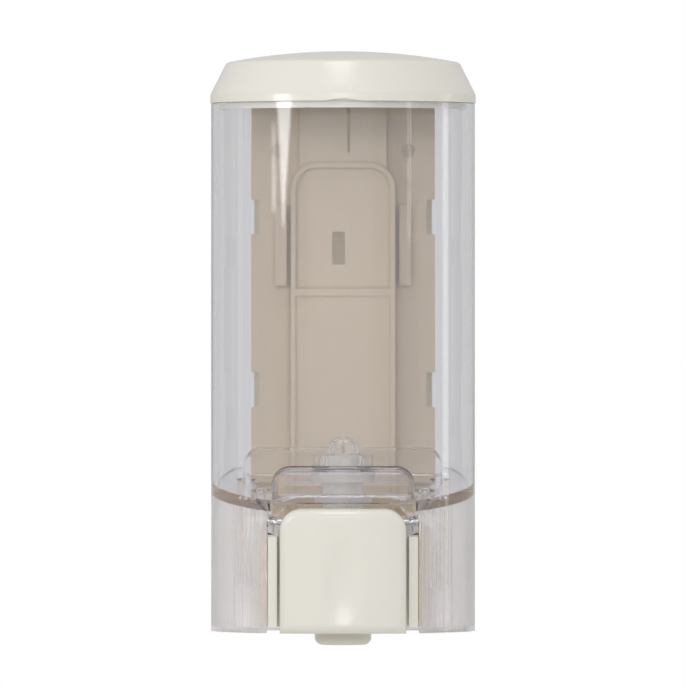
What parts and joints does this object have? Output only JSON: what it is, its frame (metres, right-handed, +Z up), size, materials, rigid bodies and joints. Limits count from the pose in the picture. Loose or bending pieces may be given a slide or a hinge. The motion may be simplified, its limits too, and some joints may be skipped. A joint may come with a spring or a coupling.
{
  "type": "wall mounted soap dispenser",
  "caption": "Wall mounted liquid soap dispenser with a clear tank, lift-up domed lid, push button pump and a hook-on wall plate.",
  "frame": {"origin": "centre of the four wall screw holes, on the wall plane", "axes": "+X to the right seen from the front, +Y into the wall, +Z up"},
  "size_m": [0.0916, 0.0785, 0.2044],
  "materials": {
    "white_abs": "glossy moulded",
    "ivory_abs": "satin moulded",
    "clear_san": "clear moulded",
    "clear_cover": "clear moulded, slightly hazy",
    "white_pom": "satin moulded",
    "natural_pp": "translucent moulded",
    "cream_pp": "glossy moulded",
    "black_rubber": "matte",
    "silicone": "matte",
    "stainless": "bright"
  },
  "bodies": {
    "wall_plate": {"wall_plate": "ivory_abs"},
    "dispenser": {"tank": "clear_san", "lower_cover": "clear_cover", "pivot_pins": "stainless", "pump_bracket": "white_abs", "pump_body": "natural_pp", "pump_end_cap": "white_pom", "end_cap_seal": "black_rubber", "return_spring": "stainless", "inlet_gasket": "silicone", "inlet_nut": "clear_san", "inlet_strainer": "clear_san", "ball_cage": "natural_pp", "outlet_valve": "silicone", "nozzle": "cream_pp", "bracket_screws": "stainless", "cover_screws": "stainless"},
    "lid": {"lid": "white_abs"},
    "push_button": {"push_button": "white_abs"},
    "piston": {"piston": "white_pom", "piston_o_ring": "black_rubber"},
    "inlet_ball": {"inlet_ball": "natural_pp"}
  },
  "joints": [
    {"name": "body_lift", "type": "slide", "parent": "wall_plate", "child": "dispenser", "axis": [0, 0, 1], "range_m": [0, 0.012]},
    {"name": "lid_hinge", "type": "hinge", "parent": "dispenser", "child": "lid", "pos_m": [0, -0.0115, 0.0975], "axis": [-1, 0, 0], "range_deg": [0, 88]},
    {"name": "button_pivot", "type": "hinge", "parent": "dispenser", "child": "push_button", "pos_m": [0, -0.063, -0.0526], "axis": [1, 0, 0], "range_deg": [0, 12], "stiffness_Nm_per_rad": 0.5, "springref_deg": -17.19},
    {"name": "piston_slide", "type": "slide", "parent": "dispenser", "child": "piston", "axis": [0, 1, 0], "range_m": [0, 0.0035], "deforming": ["return_spring"]},
    {"name": "inlet_ball_lift", "type": "slide", "parent": "dispenser", "child": "inlet_ball", "axis": [0, 0, 1], "range_m": [0, 0.0015]}
  ],
  "couplings": [
    {"joint": "piston_slide", "follows": "button_pivot", "m_per_rad": 0.0164}
  ]
}
